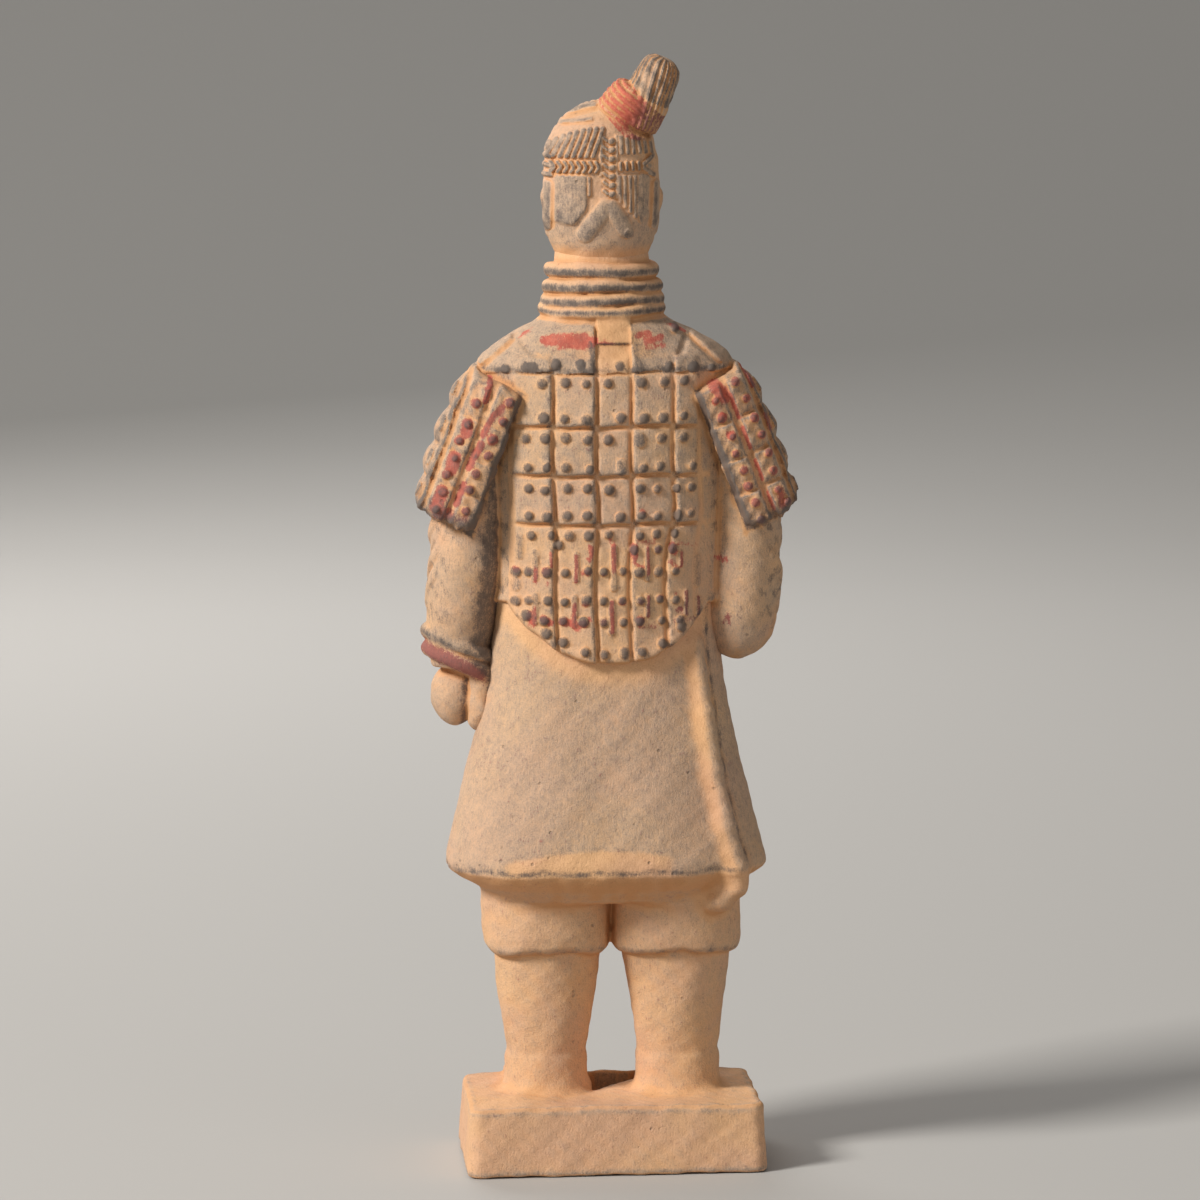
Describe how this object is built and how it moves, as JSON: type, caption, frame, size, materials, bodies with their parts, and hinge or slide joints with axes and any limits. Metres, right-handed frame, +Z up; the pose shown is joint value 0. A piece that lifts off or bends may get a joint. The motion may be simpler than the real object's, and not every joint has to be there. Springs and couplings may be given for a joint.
{
  "type": "warrior figurine",
  "caption": "Fired-clay figurine of an armoured foot soldier with a topknot, standing on a low rectangular plinth; a shelf ornament that rests on its own flat base.",
  "frame": {"origin": "centre of the plinth's underside", "axes": "+Z up along the figure, +X towards the figure's left hand, -Y the way it faces"},
  "size_m": [0.0868, 0.0515, 0.2506],
  "materials": {
    "clay": "matte"
  },
  "bodies": {
    "root": {"warrior": "clay"}
  },
  "joints": []
}
